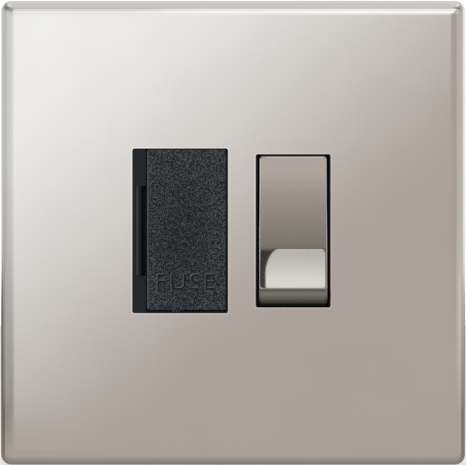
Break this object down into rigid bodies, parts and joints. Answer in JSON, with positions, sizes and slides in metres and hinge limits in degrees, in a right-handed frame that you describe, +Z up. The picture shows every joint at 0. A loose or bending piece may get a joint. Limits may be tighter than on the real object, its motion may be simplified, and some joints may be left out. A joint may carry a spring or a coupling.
{
  "type": "fused spur unit",
  "caption": "Square wall-mounted fused spur unit with a clip-on metal front plate, a pull-out fuse carrier, a rocker switch and screw terminals at the back.",
  "frame": {"origin": "middle of the two fixing slots, on the wall face", "axes": "+Z up, +X to the right seen from the front, +Y into the wall; the front faces -Y"},
  "size_m": [0.09, 0.0305, 0.09],
  "materials": {
    "plate_metal": "satin nickel plate on sheet steel",
    "rocker_finish": "nickel-plated moulding, fine satin",
    "black_moulding": "black moulding, spark-textured",
    "housing_moulding": "dark grey thermoset moulding",
    "spring_steel": "bright spring steel",
    "plunger_nylon": "natural nylon",
    "copper": "bright copper strip",
    "silver_contact": "silver alloy",
    "brass": "bright brass",
    "spring_bronze": "phosphor bronze",
    "fuse_ceramic": "white ceramic tube",
    "fuse_cap_metal": "nickel-plated brass",
    "screw_steel": "zinc-plated steel"
  },
  "bodies": {
    "base": {"front_frame": "black_moulding", "rear_housing": "housing_moulding", "plate_springs": "spring_steel", "housing_screws": "screw_steel", "upper_fuse_clip": "spring_bronze", "lower_fuse_clip": "spring_bronze", "pivot_bracket_live": "brass", "pivot_bracket_neutral": "brass", "fixed_contact_live": "brass", "fixed_contact_neutral": "brass", "fixed_tip_live": "silver_contact", "fixed_tip_neutral": "silver_contact", "live_link": "brass", "earth_strap": "brass", "earth_finger": "spring_bronze", "terminal_screws": "screw_steel", "supply_live_terminal": "brass", "supply_neutral_terminal": "brass", "supply_earth_terminal": "brass", "load_live_terminal": "brass", "load_neutral_terminal": "brass", "load_earth_terminal": "brass"},
    "faceplate": {"front_plate": "plate_metal"},
    "switch_rocker": {"rocker": "rocker_finish", "plunger_spring_live": "spring_steel", "plunger_spring_neutral": "spring_steel"},
    "live_plunger": {"plunger_live": "plunger_nylon"},
    "neutral_plunger": {"plunger_neutral": "plunger_nylon"},
    "live_lever": {"contact_lever_live": "copper", "moving_tip_live": "silver_contact"},
    "neutral_lever": {"contact_lever_neutral": "copper", "moving_tip_neutral": "silver_contact"},
    "fuse_drawer": {"fuse_carrier": "black_moulding", "fuse_barrel": "fuse_ceramic", "fuse_caps": "fuse_cap_metal"}
  },
  "joints": [
    {"name": "rocker_tilt", "type": "hinge", "parent": "base", "child": "switch_rocker", "pos_m": [0.01165, 0.0025, 0.00035], "axis": [1, 0, 0], "range_deg": [0, 20]},
    {"name": "live_lever_tilt", "type": "hinge", "parent": "base", "child": "live_lever", "pos_m": [0.00805, 0.01184, 0.00035], "axis": [1, 0, 0], "range_deg": [-20, 0]},
    {"name": "neutral_lever_tilt", "type": "hinge", "parent": "base", "child": "neutral_lever", "pos_m": [0.01525, 0.01184, 0.00035], "axis": [1, 0, 0], "range_deg": [-20, 0]},
    {"name": "live_plunger_slide", "type": "slide", "parent": "switch_rocker", "child": "live_plunger", "axis": [0, -0.9848, 0.1736], "range_m": [0, 0.0003], "stiffness_N_per_m": 200, "springref_m": -0.003},
    {"name": "neutral_plunger_slide", "type": "slide", "parent": "switch_rocker", "child": "neutral_plunger", "axis": [0, -0.9848, 0.1736], "range_m": [0, 0.0003], "stiffness_N_per_m": 200, "springref_m": -0.003},
    {"name": "fuse_carrier_slide", "type": "slide", "parent": "base", "child": "fuse_drawer", "axis": [0, -1, 0], "range_m": [0, 0.0149]},
    {"name": "plate_release", "type": "slide", "parent": "base", "child": "faceplate", "axis": [0, -1, 0], "range_m": [0, 0.02]}
  ],
  "couplings": [
    {"joint": "live_lever_tilt", "follows": "rocker_tilt", "ratio": -1},
    {"joint": "neutral_lever_tilt", "follows": "rocker_tilt", "ratio": -1}
  ]
}
